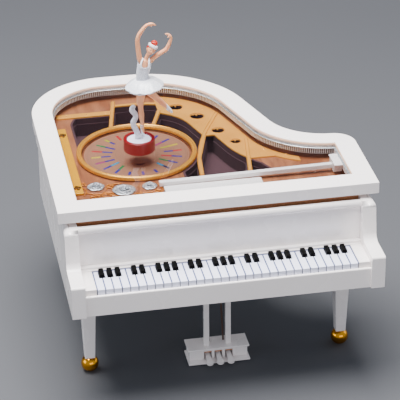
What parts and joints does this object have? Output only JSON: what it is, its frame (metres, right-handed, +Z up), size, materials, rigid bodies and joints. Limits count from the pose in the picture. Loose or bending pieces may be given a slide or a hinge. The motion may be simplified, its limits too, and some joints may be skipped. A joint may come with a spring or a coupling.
{
  "type": "ballerina music box",
  "caption": "Grand-piano-shaped jewellery box with a hinged window lid, a wind-up movement and a magnet-driven dancer turning on the window.",
  "frame": {"origin": "middle of the whole plan, on the surface that the ball feet stand on", "axes": "+Z up; the keyboard faces -Y; +X is the treble side, towards the player's right hand"},
  "size_m": [0.175, 0.1914, 0.1861],
  "materials": {
    "white_gloss": "gloss",
    "white_key": "gloss",
    "black_key": "gloss",
    "screw_steel": "plain",
    "movement_steel": "satin",
    "comb_steel": "satin",
    "brass": "polished",
    "gold_plate": "satin",
    "gold_foot": "mirror",
    "rail_gold": "satin",
    "bumper_rubber": "matt",
    "rod_brown": "satin",
    "deck_wood": "satin",
    "well_flock": "flocked",
    "rose_silver": "antique",
    "clear_pane": "clear",
    "trim_silver": "satin",
    "disc_tan": "printed",
    "magnet": "plain",
    "spring_steel": "blued",
    "base_red": "gloss",
    "ribbon_grey": "satin",
    "skin": "painted",
    "dress_white": "painted",
    "hair_red": "painted",
    "felt_brown": "felt"
  },
  "bodies": {
    "case": {"case_shell": "white_gloss", "bottom_cover": "white_gloss", "cover_screws": "screw_steel", "hinge_pins": "brass", "lid_bumpers": "bumper_rubber", "key_bed": "white_gloss", "key_slip": "white_gloss", "key_blocks": "white_gloss", "white_keys": "white_key", "black_keys": "black_key", "fallboard": "white_gloss", "fallboard_rail": "white_gloss", "front_strip": "felt_brown", "leg_left": "white_gloss", "leg_right": "white_gloss", "leg_rear": "white_gloss", "foot_left": "gold_foot", "foot_right": "gold_foot", "foot_rear": "gold_foot", "lyre_posts": "white_gloss", "lyre_rods": "rod_brown", "pedal_box": "white_gloss", "pedal_box_plates": "white_gloss", "soundboard": "deck_wood", "well_tray": "well_flock", "harp_plate": "gold_plate", "ring_bezel": "gold_plate", "bass_rail": "rail_gold", "plate_screws": "brass", "roses": "rose_silver", "filigree": "gold_plate", "music_desk": "white_gloss", "bedplate": "movement_steel", "cylinder_brackets": "movement_steel", "comb_base": "movement_steel", "comb": "comb_steel", "comb_screws": "brass"},
    "lid": {"lid_frame": "white_gloss", "window_pane": "clear_pane", "window_trim": "trim_silver", "prop_bracket": "white_gloss"},
    "prop": {"lid_prop": "white_gloss"},
    "turntable": {"turntable": "disc_tan", "turntable_arbor": "movement_steel", "drive_magnet": "magnet"},
    "barrel": {"spring_barrel": "brass", "mainspring": "spring_steel", "winding_key": "brass"},
    "cylinder": {"pin_cylinder": "brass"},
    "governor": {"governor": "brass"},
    "pedal_left": {"pedal_left": "white_gloss"},
    "pedal_middle": {"pedal_middle": "white_gloss"},
    "pedal_right": {"pedal_right": "white_gloss"},
    "dancer": {"dancer_base": "base_red", "dancer_disc": "white_key", "dancer_magnet": "magnet", "dancer_ribbon": "ribbon_grey", "dancer_body": "skin", "dancer_dress": "dress_white", "dancer_hair": "hair_red"}
  },
  "joints": [
    {"name": "lid_hinge", "type": "hinge", "parent": "case", "child": "lid", "pos_m": [-0.0856, -0.00525, 0.1069], "axis": [0, -1, 0], "range_deg": [0, 30]},
    {"name": "prop_pivot", "type": "hinge", "parent": "lid", "child": "prop", "pos_m": [0.0725, -0.03245, 0.1045], "axis": [0, -1, 0], "range_deg": [0, 17.4]},
    {"name": "barrel_spin", "type": "hinge", "parent": "case", "child": "barrel", "pos_m": [-0.009, 0.00975, 0.07], "axis": [0, 0, 1], "continuous": true},
    {"name": "turntable_spin", "type": "hinge", "parent": "case", "child": "turntable", "pos_m": [-0.033, 0.00975, 0.09], "axis": [0, 0, 1], "continuous": true},
    {"name": "dancer_turn", "type": "hinge", "parent": "lid", "child": "dancer", "pos_m": [-0.033, 0.00975, 0.1092], "axis": [0, 0, 1], "continuous": true},
    {"name": "cylinder_spin", "type": "hinge", "parent": "case", "child": "cylinder", "pos_m": [-0.009, -0.01925, 0.0751], "axis": [0, 1, 0], "continuous": true},
    {"name": "governor_spin", "type": "hinge", "parent": "case", "child": "governor", "pos_m": [0, -0.03625, 0.0751], "axis": [0, 0, 1], "continuous": true},
    {"name": "pedal_left_press", "type": "hinge", "parent": "case", "child": "pedal_left", "pos_m": [-0.0054, -0.04925, 0.0043], "axis": [1, 0, 0], "range_deg": [0, 3], "stiffness_Nm_per_rad": 0.02},
    {"name": "pedal_middle_press", "type": "hinge", "parent": "case", "child": "pedal_middle", "pos_m": [0.0006, -0.04925, 0.0043], "axis": [1, 0, 0], "range_deg": [0, 3], "stiffness_Nm_per_rad": 0.02},
    {"name": "pedal_right_press", "type": "hinge", "parent": "case", "child": "pedal_right", "pos_m": [0.0066, -0.04925, 0.0043], "axis": [1, 0, 0], "range_deg": [0, 3], "stiffness_Nm_per_rad": 0.02}
  ],
  "couplings": [
    {"joint": "prop_pivot", "follows": "lid_hinge", "ratio": 0.57},
    {"joint": "turntable_spin", "follows": "barrel_spin", "ratio": -1.5},
    {"joint": "dancer_turn", "follows": "barrel_spin", "ratio": -1.5},
    {"joint": "cylinder_spin", "follows": "barrel_spin", "ratio": 1.66},
    {"joint": "governor_spin", "follows": "barrel_spin", "ratio": 8}
  ]
}
